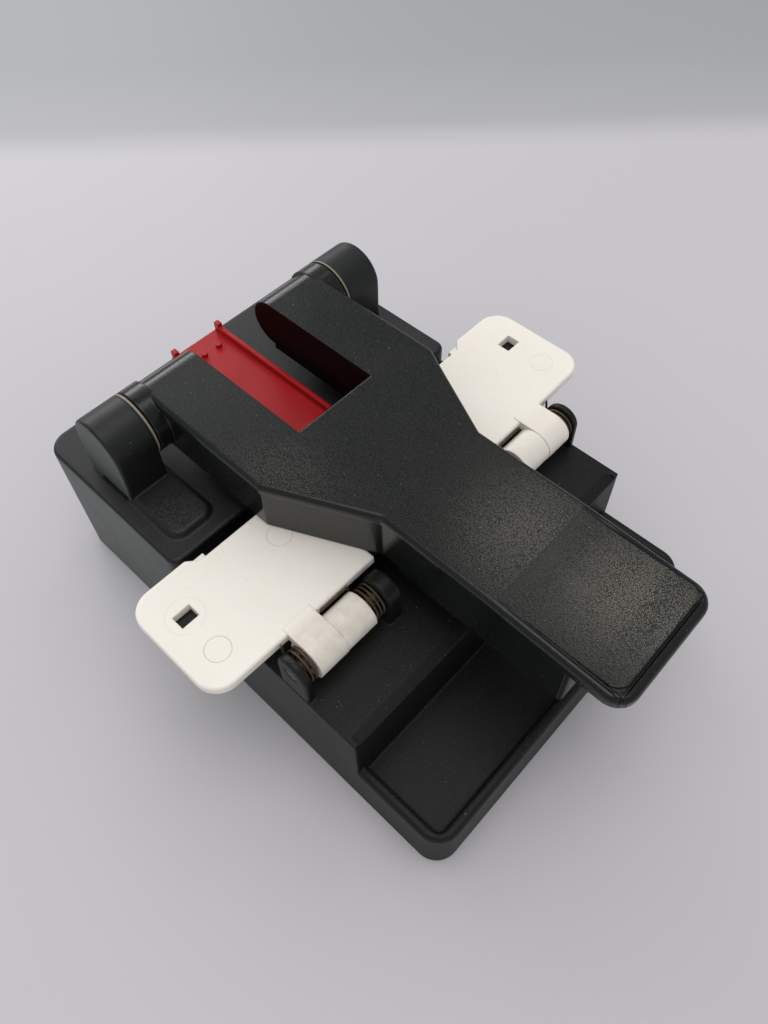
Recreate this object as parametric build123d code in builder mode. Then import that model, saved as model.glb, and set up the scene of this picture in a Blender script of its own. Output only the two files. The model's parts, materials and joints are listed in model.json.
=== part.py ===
from build123d import *
from math import acos, atan2, ceil, cos, hypot, pi, sin, sqrt
import os

os.makedirs("parts", exist_ok=True)

# Millimetres. X runs left to right, Y from the handle to the hinge, Z up from the table.
# The origin is under the middle of the whole splicer, on the table.

# base housing
base_half_width = 41.0
base_front_y = -52.0
base_back_y = 63.8
base_corner = 5.0
foot_height = 0.8
wall = 2.5
tray_floor_z = 12.7
tray_rim_z = 15.3
tray_wall = 2.2
tray_round = 0.7
rim_round = 1.1
block_front_y = -31.1
tray_back_y = block_front_y + 3.0
block_top_z = 29.3
block_bottom_z = tray_floor_z - 1
block_bevel = (2.1, 0.9)
block_bevel_end = 1.2
deck_front_y = 18.4
deck_z = block_top_z + 5.8
shoulder_inner_x = 26.2
shoulder_outer_x = base_half_width - 3.4
shoulder_front_y = deck_front_y + 3.2
shoulder_rise = 1.3
shoulder_sink = 0.2
shoulder_slope = 35
shoulder_corner = 3.4
shoulder_round = 0.9
cover_thickness = 2.0
cover_gap = 0.15
foot_radius = 5.0
foot_inset = 8.0
foot_recess = 0.8

# film bed and arm stand on the film step
film_y = 5.2
bed_top_z = block_top_z + 8.8
arm_rise = 15.3
arm_top_z = bed_top_z + arm_rise
plate_top_z = bed_top_z + 2.2

# rear hinge
hinge_y = 43.7
hinge_z = arm_top_z - 7.1
ear_outer_x = base_half_width - 3.8
ear_length = 9.2
ear_inner_x = ear_outer_x - ear_length
ear_radius = 7.3
bush_flange = 0.8
bush_radius = 3.6
axle_radius = 2.0
axle_clearance = 0.04
axle_inner_x = 15.0
side_gap = 0.3

# arm
hub_length = 3.9
arm_half_width = ear_inner_x - hub_length
arm_skin = 2.0
arm_bottom_z = plate_top_z + 0.3
nose_radius = 5.7
waist_rear_y = 9.0
waist_front_y = -12.3
handle_half_width = 13.8
handle_front_y = -53.6
handle_bottom_z = arm_bottom_z - 1.6
lip_front_y = handle_front_y - 10.2
lip_bottom_z = arm_top_z - 3.9
lip_side_z = arm_top_z - 2.0
lip_corner = 4.2
handle_corner = 0.8
slot_half_width = 10.0
slot_front_y = 12.8
skirt_inset = 0.4
top_round = 1.2
pad_half_width = handle_half_width - 1.7
pad_front_y = lip_front_y + 2.1
pad_rear_y = pad_front_y + 24.4
pad_ledge_drop = 1.0
pad_dish = 0.35

# clamp plates
plate_thickness = 2.0
plate_overhang = 12.9
plate_outer_x = base_half_width + plate_overhang
plate_inner_x = handle_half_width + 0.8
plate_back_y = 14.7
plate_step_y = 12.7
plate_front_y = -11.0
clamp_y = -15.5
clamp_z = plate_top_z - 4.0
knuckle_radius = 4.0
strap_length = 6.7
strap_wrap = 0.12
pin_radius = 1.5
pin_clearance = 0.05
lug_length = 1.6
coil_room = 2.4
lug_round = 0.7
outer_lug = (base_half_width - 0.1 - lug_length, base_half_width - 0.1)
outer_lug_radius = 3.8
inner_lug = (handle_half_width + 2.2, handle_half_width + 5.5)
inner_lug_radius = 3.9
knuckle_outer_x = outer_lug[0] - coil_room
knuckle_inner_x = inner_lug[1] + 3.4
strap_inner_x = knuckle_outer_x - strap_length
window_x = (plate_outer_x - 8.8, plate_outer_x - 4.9)
window_y = (film_y - 1.5, film_y + 1.6)
plate_step_x = (plate_outer_x - 16.3, plate_outer_x - 14.0)
tab_x = (plate_outer_x - 17.7, plate_outer_x - 15.1)

# film path, standard pitch of the perforations and width of the film
film_width = 8.0
film_side_clearance = 0.03
perforation_pitch = 4.234
channel_depth = 0.2
wing_half_width = 10.2 / 2
wing_end_x = plate_outer_x - 3.9
wing_bottom_z = bed_top_z - 3.6
bed_centre_half_x = 14.2
bed_centre_z = bed_top_z - 0.8
seat_z = bed_top_z - 5.8
knife_slot_width = 1.3
knife_thickness = 0.6
knife_half_length = 7.3
cut_x = 8.85

# tape guide
guide_half_width = 7.0
guide_rail = 1.2
guide_floor_z = deck_z + 2.7
guide_rail_z = guide_floor_z + 1.8
guide_back_y = base_back_y - 2.8
guide_rail_front_y = deck_front_y + 3.8
guide_front_y = deck_front_y - 5.2
pip_y = guide_back_y - 5.0

# springs
clamp_wire = 0.5
clamp_coil_pitch = 0.91
clamp_coil_radius = 3.35
pad_wire = 0.5
pad_coil_radius = 1.9

channel_z = bed_top_z - channel_depth
plate_bottom_z = plate_top_z - plate_thickness
carrier_top_z = arm_top_z - 6.0
carrier_bottom_z = carrier_top_z - 2.5
pad_bottom_z = bed_top_z + 0.25
pad_top_z = carrier_bottom_z - 2.5
stem_x = 4.0
stem_radius = 1.25
stem_clearance = 0.05
pad_half_x = 6.6
pad_half_y = 3.3


def slab(half_x, y0, y1, z0, z1):
    """A box centred on the X axis, between two Y and two Z levels."""
    with Locations((0, (y0 + y1) / 2, (z0 + z1) / 2)):
        Box(2 * half_x, y1 - y0, z1 - z0)


def block(x0, x1, y0, y1, z0, z1, mode=Mode.ADD):
    with Locations(((x0 + x1) / 2, (y0 + y1) / 2, (z0 + z1) / 2)):
        Box(abs(x1 - x0), y1 - y0, z1 - z0, mode=mode)


def rod(x0, x1, y, z, radius, mode=Mode.ADD):
    """A round bar along X."""
    with Locations(Location(((x0 + x1) / 2, y, z), (0, 90, 0))):
        Cylinder(radius, abs(x1 - x0), mode=mode)


def post(x, y, z0, z1, radius, mode=Mode.ADD):
    """A round bar along Z."""
    with Locations((x, y, (z0 + z1) / 2)):
        Cylinder(radius, z1 - z0, mode=mode)


def outline(inset, front, back, corner):
    """The plan of the base housing, drawn in from its walls."""
    with Locations((0, (front + back) / 2)):
        RectangleRounded(2 * (base_half_width - inset), back - front, corner)


# ---------------------------------------------------------------- base housing
cover_seat_z = foot_height + cover_thickness
cover_screw_x = base_half_width - 9.0
cover_screw_y = (base_front_y + 28.0, base_back_y - 21.8)
cover_screw_spots = [(x, y) for x in (-cover_screw_x, cover_screw_x) for y in cover_screw_y]
bed_screw_x = bed_centre_half_x - 3.2
bed_screw_spots = [(x, y) for x in (-bed_screw_x, bed_screw_x) for y in (film_y - 8.4, film_y + 7.8)]
guide_screw_spots = [(0.0, deck_front_y + 9.6), (0.0, guide_back_y - 11.0)]
foot_x = base_half_width - foot_inset
foot_spots = [
    (x, y) for x in (-foot_x, foot_x) for y in (base_front_y + foot_inset, base_back_y - foot_inset)
]
post_radius = 3.4
rib_half_x = base_half_width - 1.0
rib_thickness = 1.6
rib_depth = 10.0
front_rib_y = film_y - 13.2
rear_rib_y = hinge_y - 8.7
bed_post_z = block_top_z - 5.3

with BuildPart() as base_shell:
    with BuildSketch(Plane.XY.offset(foot_height)):
        outline(0, base_front_y, base_back_y, base_corner)
    extrude(amount=tray_rim_z - foot_height)
    fillet(base_shell.faces().sort_by(Axis.Z)[-1].edges(), rim_round)
    # the tray's pocket runs in under the film step, which closes it
    with BuildSketch(Plane.XY.offset(tray_floor_z)):
        with Locations((0, (base_front_y + tray_wall + tray_back_y) / 2)):
            RectangleRounded(2 * (base_half_width - tray_wall), tray_back_y - base_front_y - tray_wall, 1.8)
    extrude(amount=tray_rim_z, mode=Mode.SUBTRACT)
    pocket_edges = base_shell.edges().filter_by_position(
        Axis.X, tray_wall - base_half_width - 0.01, base_half_width - tray_wall + 0.01
    ).filter_by_position(Axis.Y, base_front_y + tray_wall - 0.01, tray_back_y + 0.01)
    for level in (tray_rim_z, tray_floor_z):
        fillet(pocket_edges.filter_by_position(Axis.Z, level - 0.01, level + 0.01), tray_round)
    # film step
    with BuildSketch(Plane.XY.offset(block_bottom_z)):
        with BuildLine():
            Polyline(
                (-base_half_width, block_front_y),
                (base_half_width, block_front_y),
                (base_half_width, base_back_y - base_corner),
                (-base_half_width, base_back_y - base_corner),
                close=True,
            )
        make_face()
    extrude(amount=block_top_z - block_bottom_z)
    # bevel along the front edge of the step, stopping short of the side walls
    bevel_slope = block_bevel[1] / block_bevel[0]
    with BuildSketch(Plane.YZ):
        with BuildLine():
            Polyline(
                (block_front_y - 1, block_top_z - block_bevel[1] - bevel_slope),
                (block_front_y + block_bevel[0] + 1, block_top_z + bevel_slope),
                (block_front_y - 1, block_top_z + bevel_slope),
                close=True,
            )
        make_face()
    extrude(amount=base_half_width - block_bevel_end, both=True, mode=Mode.SUBTRACT)
    # rear deck
    with BuildSketch(Plane.XY.offset(block_bottom_z)):
        with Locations((0, (block_front_y + 10 + base_back_y) / 2)):
            RectangleRounded(2 * base_half_width, base_back_y - block_front_y - 10, base_corner)
    extrude(amount=block_top_z - block_bottom_z)
    with BuildSketch(Plane.XY.offset(block_top_z - 1)):
        with Locations((0, (deck_front_y + base_back_y) / 2)):
            Rectangle(2 * base_half_width, base_back_y - deck_front_y)
        deck_corners = vertices().group_by(Axis.Y)
        fillet(deck_corners[-1], base_corner)
        fillet(vertices().group_by(Axis.Y)[0], 2.5)
    extrude(amount=deck_z - block_top_z + 1)
    rim_edges = base_shell.faces().filter_by(Plane.XY).filter_by_position(
        Axis.Z, deck_z - 0.01, deck_z + 0.01
    ).edges()
    fillet(rim_edges, 0.8)
    # raised shoulders in front of the ears, with sloping sides
    for side in (-1, 1):
        with BuildSketch(Plane.XY.offset(deck_z - shoulder_sink)):
            with Locations(
                (side * (shoulder_inner_x + shoulder_outer_x) / 2, (shoulder_front_y + hinge_y) / 2)
            ):
                RectangleRounded(
                    shoulder_outer_x - shoulder_inner_x, hinge_y - shoulder_front_y, shoulder_corner
                )
        extrude(amount=shoulder_sink + shoulder_rise, taper=shoulder_slope)
    shoulder_edges = base_shell.faces().filter_by(Plane.XY).filter_by_position(
        Axis.Z, deck_z + shoulder_rise - 0.01, deck_z + shoulder_rise + 0.01
    ).edges()
    fillet(shoulder_edges, shoulder_round)
    # ears
    for side in (-1, 1):
        rod(side * ear_inner_x, side * ear_outer_x, hinge_y, hinge_z, ear_radius)
        block(
            side * ear_inner_x,
            side * ear_outer_x,
            hinge_y - ear_radius,
            hinge_y + ear_radius,
            deck_z - 1,
            hinge_z,
        )
        ear_end = base_shell.faces().filter_by(Plane.YZ).filter_by_position(
            Axis.X, side * ear_outer_x - 0.01, side * ear_outer_x + 0.01
        ).edges().filter_by_position(Axis.Z, deck_z + shoulder_rise + 0.1, hinge_z + ear_radius + 1)
        fillet(ear_end.filter_by(GeomType.CIRCLE), 0.8)
        block(
            side * (ear_outer_x - 0.7),
            side * (ear_outer_x + 0.2),
            hinge_y - ear_radius + 1.5,
            hinge_y + 3.0,
            deck_z - 0.3,
            deck_z + 0.8,
            Mode.SUBTRACT,
        )
        rod(side * ear_inner_x, side * (ear_outer_x - 1.8), hinge_y, hinge_z, bush_radius, Mode.SUBTRACT)
    # clamp lugs
    for side in (-1, 1):
        for (x0, x1), radius in ((outer_lug, outer_lug_radius), (inner_lug, inner_lug_radius)):
            rod(side * x0, side * x1, clamp_y, clamp_z, radius)
            block(side * x0, side * x1, clamp_y - radius, clamp_y + radius, block_top_z - 1, clamp_z)
            lug_ends = base_shell.edges().filter_by(GeomType.CIRCLE).filter_by_position(
                Axis.Y, clamp_y - radius, clamp_y + radius
            ).filter_by_position(Axis.Z, clamp_z + 0.1, clamp_z + radius)
            outer_end = lug_ends.filter_by_position(Axis.X, side * x1 - 0.01, side * x1 + 0.01)
            fillet(outer_end, lug_round)
        rod(side * inner_lug[0], side * outer_lug[1], clamp_y, clamp_z, pin_radius, Mode.SUBTRACT)
    # hollow underside
    with BuildSketch(Plane.XY.offset(foot_height)):
        outline(wall / 2, base_front_y + wall / 2, base_back_y - wall / 2, base_corner - wall / 2)
    extrude(amount=cover_thickness, mode=Mode.SUBTRACT)
    with BuildSketch(Plane.XY.offset(foot_height)):
        outline(wall, base_front_y + wall, base_back_y - wall, base_corner - wall)
    extrude(amount=tray_floor_z - wall - foot_height, mode=Mode.SUBTRACT)
    with BuildSketch(Plane.XY.offset(foot_height)):
        outline(wall, block_front_y + wall, base_back_y - wall, base_corner - wall)
    extrude(amount=block_top_z - wall - foot_height, mode=Mode.SUBTRACT)
    with BuildSketch(Plane.XY.offset(foot_height)):
        outline(wall, deck_front_y + wall, base_back_y - wall, base_corner - wall)
    extrude(amount=deck_z - wall - foot_height, mode=Mode.SUBTRACT)
    # screw posts and roof ribs inside
    for x, y in cover_screw_spots:
        post(x, y, cover_seat_z, deck_z - 1 if y > deck_front_y else block_top_z - 1, post_radius)
        post(x, y, cover_seat_z - 0.5, cover_seat_z + 9, 1.1, Mode.SUBTRACT)
    for rib_y, top_z in ((front_rib_y, block_top_z), (rear_rib_y, deck_z)):
        block(-rib_half_x, rib_half_x, rib_y, rib_y + rib_thickness, top_z - rib_depth, top_z - 1)
    for x, y in bed_screw_spots:
        post(x, y, bed_post_z, block_top_z - 1, 3.6)
        post(x, y, bed_post_z - 1, block_top_z - wall, 2.2, Mode.SUBTRACT)
        post(x, y, bed_post_z - 1, block_top_z + 1, 1.1, Mode.SUBTRACT)
    for x, y in guide_screw_spots:
        post(x, y, deck_z - wall - 2, deck_z - 1, 3.0)
        post(x, y, deck_z - wall - 3, deck_z - wall + 0.5, 2.0, Mode.SUBTRACT)
        post(x, y, deck_z - wall - 3, deck_z + 1, 0.9, Mode.SUBTRACT)
base_shell.part.label = "base_shell"
export_step(base_shell.part, "parts/base_shell.step")

# ---------------------------------------------------------------- underside
with BuildPart() as base_cover:
    with BuildSketch(Plane.XY.offset(foot_height)):
        outline(
            wall / 2 + cover_gap,
            base_front_y + wall / 2 + cover_gap,
            base_back_y - wall / 2 - cover_gap,
            base_corner - wall / 2 - cover_gap,
        )
    extrude(amount=cover_thickness)
    for x, y in cover_screw_spots:
        post(x, y, foot_height - 1, foot_height + 1.0, 2.4, Mode.SUBTRACT)
        post(x, y, foot_height, cover_seat_z + 1, 1.3, Mode.SUBTRACT)
    for x, y in foot_spots:
        post(x, y, foot_height - 1, foot_height + foot_recess, foot_radius, Mode.SUBTRACT)
base_cover.part.label = "base_cover"
export_step(base_cover.part, "parts/base_cover.step")

with BuildPart() as feet:
    for x, y in foot_spots:
        with BuildSketch(Plane.XY):
            with Locations((x, y)):
                Circle(foot_radius)
        extrude(amount=foot_height + foot_recess)
    chamfer(feet.edges().group_by(Axis.Z)[0], 0.3)
feet.part.label = "feet"
export_step(feet.part, "parts/feet.step")

with BuildPart() as cover_screws:
    for x, y in cover_screw_spots:
        post(x, y, foot_height + 0.1, foot_height + 1.0, 2.2)
        post(x, y, foot_height + 1.0, cover_seat_z + 8, 1.1)
        with Locations((x, y, foot_height + 0.3)):
            Box(0.6, 2.4, 0.4, mode=Mode.SUBTRACT)
            Box(2.4, 0.6, 0.4, mode=Mode.SUBTRACT)
cover_screws.part.label = "cover_screws"
export_step(cover_screws.part, "parts/cover_screws.step")

# ---------------------------------------------------------------- film bed
anvil_x = (-12.6, 7.5)
blade_x = (7.5, 8.75)
anvil_y = (film_y - film_width / 2 - film_side_clearance, film_y + film_width / 2 + film_side_clearance)
bed_centre_y = (film_y - 11.6, film_y + 7.7)
pin_spots = [
    (side * perforation_pitch * step, anvil_y[0] + 0.97) for side in (-1, 1) for step in (4, 5)
]
bed_front_y = film_y - wing_half_width
bed_rear_y = film_y + wing_half_width
bed_over_z = bed_top_z + 5.0
bed_screw_z = bed_top_z - 3.1
seat_side_gap = 0.35
seat_y = (anvil_y[0] - seat_side_gap, anvil_y[1] + seat_side_gap)
slot_y = (anvil_y[0] - knife_slot_width, anvil_y[1] + knife_slot_width)
slot_half_x = knife_half_length + 0.7
knife_tip_z = bed_top_z - 1.0

with BuildPart() as film_bed:
    block(-wing_end_x, wing_end_x, bed_front_y, bed_rear_y, wing_bottom_z, bed_top_z)
    fillet(film_bed.edges().filter_by(Axis.Z), 1.2)
    slab(base_half_width - 1.0, bed_front_y + 1.2, bed_rear_y - 1.2, block_top_z, wing_bottom_z + 1)
    block(-bed_centre_half_x, bed_centre_half_x, bed_centre_y[0], bed_centre_y[1], block_top_z, bed_centre_z)
    for x, y in bed_screw_spots:
        post(x, y, block_top_z - 1, bed_screw_z + 0.5, 1.1, Mode.SUBTRACT)
    # film channel
    block(-wing_end_x - 1, wing_end_x + 1, anvil_y[0], anvil_y[1], channel_z, bed_top_z + 1, Mode.SUBTRACT)
    # seat of the anvil and blade, with the knife slots on three sides
    block(anvil_x[0], blade_x[1], seat_y[0], seat_y[1], seat_z, bed_over_z, Mode.SUBTRACT)
    block(-slot_half_x, slot_half_x, slot_y[0], slot_y[1], knife_tip_z - 0.7, bed_over_z, Mode.SUBTRACT)
    block(
        blade_x[1],
        blade_x[1] + knife_slot_width,
        bed_front_y - 1,
        bed_rear_y + 1,
        knife_tip_z - 1.3,
        bed_over_z,
        Mode.SUBTRACT,
    )
    for x, y in pin_spots:
        post(x, y, channel_z - 3, channel_z + 2, 0.42, Mode.SUBTRACT)
film_bed.part.label = "film_bed"
export_step(film_bed.part, "parts/film_bed.step")

with BuildPart() as splice_anvil:
    block(anvil_x[0] + 0.05, anvil_x[1], anvil_y[0], anvil_y[1], seat_z, channel_z)
    chamfer(splice_anvil.edges().group_by(Axis.Z)[0], 0.3)
splice_anvil.part.label = "splice_anvil"
export_step(splice_anvil.part, "parts/splice_anvil.step")

with BuildPart() as lower_blade:
    block(blade_x[0], blade_x[1] - 0.02, anvil_y[0], anvil_y[1], seat_z, channel_z)
lower_blade.part.label = "lower_blade"
export_step(lower_blade.part, "parts/lower_blade.step")

with BuildPart() as registration_pins:
    for x, y in pin_spots:
        post(x, y, channel_z - 3, channel_z + 0.7, 0.42)
    chamfer(registration_pins.edges().group_by(Axis.Z)[-1], 0.15)
registration_pins.part.label = "registration_pins"
export_step(registration_pins.part, "parts/registration_pins.step")

with BuildPart() as bed_screws:
    for x, y in bed_screw_spots:
        post(x, y, block_top_z - wall - 1.4, block_top_z - wall, 2.0)
        post(x, y, block_top_z - wall, bed_screw_z, 1.05)
bed_screws.part.label = "bed_screws"
export_step(bed_screws.part, "parts/bed_screws.step")

# ---------------------------------------------------------------- tape guide
with BuildPart() as tape_guide:
    block(-guide_half_width, guide_half_width, deck_front_y + 2, guide_back_y, deck_z, guide_floor_z)
    block(-guide_half_width, guide_half_width, guide_front_y, deck_front_y + 3, deck_z + 1.2, guide_floor_z)
    for side in (-1, 1):
        block(
            side * (guide_half_width - guide_rail),
            side * guide_half_width,
            guide_rail_front_y,
            guide_back_y - 0.8,
            guide_floor_z - 0.5,
            guide_rail_z,
        )
    rail_tops = tape_guide.faces().filter_by(Plane.XY).filter_by_position(
        Axis.Z, guide_rail_z - 0.01, guide_rail_z + 0.01
    ).edges()
    fillet(rail_tops, 0.35)
    for side in (-1, 1):
        block(
            side * (guide_half_width - guide_rail),
            side * guide_half_width,
            guide_back_y - 1.9,
            guide_back_y - 0.4,
            guide_floor_z - 0.5,
            guide_rail_z + 0.9,
        )
    for x in (-1.3, -1.3 + perforation_pitch):
        post(x, pip_y, guide_floor_z - 0.5, guide_floor_z + 0.9, 0.75)
    for x, y in guide_screw_spots:
        post(x, y, deck_z - 1, deck_z + 2.1, 0.9, Mode.SUBTRACT)
tape_guide.part.label = "tape_guide"
export_step(tape_guide.part, "parts/tape_guide.step")

with BuildPart() as tape_guide_screws:
    for x, y in guide_screw_spots:
        post(x, y, deck_z - wall - 0.9, deck_z - wall + 0.5, 1.8)
        post(x, y, deck_z - wall + 0.5, deck_z + 2.0, 0.88)
tape_guide_screws.part.label = "tape_guide_screws"
export_step(tape_guide_screws.part, "parts/tape_guide_screws.step")


# ---------------------------------------------------------------- hinge pieces
def make_side(name, side):
    with BuildPart() as bush:
        rod(side * (ear_inner_x - bush_flange), side * ear_inner_x, hinge_y, hinge_z, ear_radius)
        rod(side * ear_inner_x, side * (ear_outer_x - 1.9), hinge_y, hinge_z, bush_radius)
        rod(
            side * (ear_inner_x - bush_flange - 1),
            side * (ear_outer_x - 1.0),
            hinge_y,
            hinge_z,
            axle_radius + axle_clearance,
            Mode.SUBTRACT,
        )
    bush.part.label = name + "_bush"
    export_step(bush.part, "parts/" + name + "_bush.step")

    with BuildPart() as axle:
        rod(side * axle_inner_x, side * (ear_outer_x - 2.2), hinge_y, hinge_z, axle_radius)
        chamfer(axle.edges().filter_by(GeomType.CIRCLE), 0.3)
    axle.part.label = name + "_axle"
    export_step(axle.part, "parts/" + name + "_axle.step")

    with BuildPart() as pin:
        rod(side * inner_lug[0], side * (outer_lug[1] - 0.05), clamp_y, clamp_z, pin_radius)
        chamfer(pin.edges().filter_by(GeomType.CIRCLE), 0.25)
    pin.part.label = name + "_clamp_pin"
    export_step(pin.part, "parts/" + name + "_clamp_pin.step")

    # clamp plate with its round knuckle
    with BuildPart() as clamp:
        with BuildSketch(Plane.XY.offset(plate_bottom_z)):
            with BuildLine():
                Polyline(
                    (side * plate_inner_x, plate_front_y - 0.2),
                    (side * (strap_inner_x - 0.2), plate_front_y - 0.2),
                    (side * plate_outer_x, plate_front_y + 0.3),
                    (side * plate_outer_x, plate_back_y),
                    (side * plate_step_x[1], plate_back_y),
                    (side * plate_step_x[0], plate_step_y),
                    (side * plate_inner_x, plate_step_y),
                    close=True,
                )
            make_face()
            fillet(vertices().group_by(Axis.X)[0 if side < 0 else -1], 5.0)
            fillet(vertices().group_by(Axis.X)[-1 if side < 0 else 0], 0.4)
        extrude(amount=plate_thickness)
        fillet(clamp.faces().sort_by(Axis.Z)[-1].edges(), 0.5)
        rod(side * knuckle_inner_x, side * knuckle_outer_x, clamp_y, clamp_z, knuckle_radius)
        rod(
            side * strap_inner_x, side * knuckle_outer_x, clamp_y, clamp_z, knuckle_radius + strap_wrap,
        )
        block(
            side * strap_inner_x,
            side * knuckle_outer_x,
            clamp_y,
            plate_front_y + 1.5,
            plate_bottom_z,
            plate_top_z + strap_wrap,
        )
        block(
            side * tab_x[0],
            side * tab_x[1],
            plate_step_y - 1,
            plate_step_y + 1.2,
            plate_bottom_z,
            plate_top_z - 0.8,
        )
        block(
            side * window_x[0] - 1.2 * side,
            side * window_x[1] + 1.2 * side,
            window_y[0],
            window_y[1],
            plate_bottom_z,
            plate_top_z - 0.8,
        )
        block(
            side * window_x[0],
            side * window_x[1],
            window_y[0],
            window_y[1],
            plate_bottom_z - 1,
            plate_top_z + 1,
            Mode.SUBTRACT,
        )
        rod(
            side * (knuckle_inner_x - 1),
            side * (knuckle_outer_x + 1),
            clamp_y,
            clamp_z,
            pin_radius + pin_clearance,
            Mode.SUBTRACT,
        )
        for x, y in pin_spots:
            if x * side > 0:
                post(x, y, plate_bottom_z - 1, plate_bottom_z + 1.0, 0.9, Mode.SUBTRACT)
    clamp.part.label = name + "_clamp"
    export_step(clamp.part, "parts/" + name + "_clamp.step")
    return clamp


left_clamp = make_side("left", -1)
right_clamp = make_side("right", 1)


# ---------------------------------------------------------------- springs
def arcs_through(points, tangents):
    """Joins points and directions with pairs of tangent arcs."""
    pieces = []
    for (p, q), (t, u) in zip(zip(points, points[1:]), zip(tangents, tangents[1:])):
        p, q, t, u = Vector(*p), Vector(*q), Vector(*t).normalized(), Vector(*u).normalized()
        v = q - p
        s = t + u
        a = 2 * (1 - t.dot(u))
        b = 2 * v.dot(s)
        c = -v.dot(v)
        if abs(a) < 1e-9:
            d = -c / b
        else:
            d = (-b + sqrt(b * b - 4 * a * c)) / (2 * a)
        middle = (p + q + (t - u) * d) * 0.5
        for start, end, direction in ((p, middle, t), (middle, q, None)):
            if direction is None:
                line = (end - start).normalized()
                direction = (middle - p).normalized() * 2 * t.dot((middle - p).normalized()) - t
            chord = (end - start).normalized()
            if chord.cross(direction).length < 1e-6:
                pieces.append(Edge.make_line(start, end))
            else:
                pieces.append(Edge.make_tangent_arc(start, direction, end))
    return pieces


def least_gap(points, wire, skip):
    """Smallest clear distance between turns that are not neighbours along the wire."""
    best = 1e9
    for i, p in enumerate(points):
        for q in points[i + skip :]:
            best = min(best, hypot(hypot(p[0] - q[0], p[1] - q[1]), p[2] - q[2]))
    return best - wire


def coil_points(start_angle, end_angle, radius, pitch, place):
    """Points and directions on a helix about quarter of a turn apart, put in place by a function."""
    points = []
    tangents = []
    count = ceil((end_angle - start_angle) / (pi / 2) - 1e-6)
    for i in range(count + 1):
        turned = (end_angle - start_angle) * i / count
        a = start_angle + turned
        points.append(place((radius * cos(a), radius * sin(a), pitch * turned / (2 * pi)), False))
        rise = pitch / (2 * pi) if 0 < i < count else 0
        tangents.append(place((-radius * sin(a), radius * cos(a), rise), True))
    return points, tangents


def coil_gap(start_angle, end_angle, radius, pitch, place, wire):
    """Clear distance between turns, measured on points close together."""
    steps = 48
    dense = []
    for i in range(int((end_angle - start_angle) / (2 * pi) * steps) + 1):
        a = start_angle + 2 * pi * i / steps
        dense.append(place((radius * cos(a), radius * sin(a), pitch * i / steps), False))
    return round(least_gap(dense, wire, steps // 2), 3)


def sweep_wire(name, edges, start, direction, wire):
    path = Wire(edges)
    with BuildPart() as spring:
        with BuildSketch(Plane(origin=start, z_dir=direction)):
            Circle(wire / 2)
        sweep(path=path)
    spring.part.label = name
    export_step(spring.part, "parts/" + name + ".step")


def clamp_spring(name, side, x_start, turns, hook_x):
    """Torsion coil round the clamp pin, from a leg on the film step to one against the plate."""

    def place(v, is_direction):
        x, y, z = v[2], v[0], v[1]
        if is_direction:
            return (side * x, y, z)
        return (side * (x_start + x), clamp_y + y, clamp_z + z)

    reach = (leg_y - clamp_y, leg_z - clamp_z)
    far = hypot(*reach)
    end_angle = 2 * pi * turns + atan2(reach[1], reach[0]) - acos(clamp_coil_radius / far)
    coil = (0, end_angle, clamp_coil_radius, clamp_coil_pitch, place)
    points, tangents = coil_points(*coil)
    foot = Vector(*points[0]) - Vector(*tangents[0]).normalized() * (clamp_z - block_top_z - clamp_wire)
    edges = [Edge.make_line(foot, Vector(*points[0]))]
    edges += arcs_through(points, tangents)
    last = Vector(*points[-1])
    up = Vector(*tangents[-1]).normalized()
    if hook_x:
        # the leg turns along the slot in the plate
        bend = 0.9
        corner = last + up * (sqrt(far**2 - clamp_coil_radius**2) - bend)
        along = Vector(side, 0, 0)
        landing = corner + up * bend + along * bend
        edges.append(Edge.make_line(last, corner))
        edges.append(Edge.make_tangent_arc(corner, up, landing))
        edges.append(Edge.make_line(landing, Vector(side * hook_x, landing.Y, landing.Z)))
    else:
        edges.append(Edge.make_line(last, last + up * (sqrt(far**2 - clamp_coil_radius**2) + 0.4)))
    print(name, "least gap", coil_gap(*coil, clamp_wire))
    sweep_wire(name, edges, foot, Vector(*points[0]) - foot, clamp_wire)


leg_y = plate_front_y - 0.2 - clamp_wire / 2 - 0.15
leg_z = plate_bottom_z + 1.1
outer_start = knuckle_outer_x + clamp_wire / 2 + 0.1
inner_start = inner_lug[1] + clamp_wire / 2 + 0.12
for name, side in (("left", -1), ("right", 1)):
    clamp_spring(name + "_outer_spring", side, outer_start, 2, 0)
    clamp_spring(name + "_inner_spring", side, inner_start, 3, strap_inner_x - 0.8)

# ---------------------------------------------------------------- arm
def arm_corners(inset, front, back):
    """Corners of the arm's plan, drawn in from its sides."""
    half = handle_half_width - inset
    right = [
        (half, front + inset),
        (half, waist_front_y),
        (arm_half_width - inset, waist_rear_y),
        (arm_half_width - inset, back),
    ]
    return right + [(-x, y) for x, y in reversed(right)]


nose_y = hinge_y - 0.2
nose_z = arm_top_z - nose_radius
carrier_screw_spots = [(side * 9.4, film_y - 9.4) for side in (-1, 1)]

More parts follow.
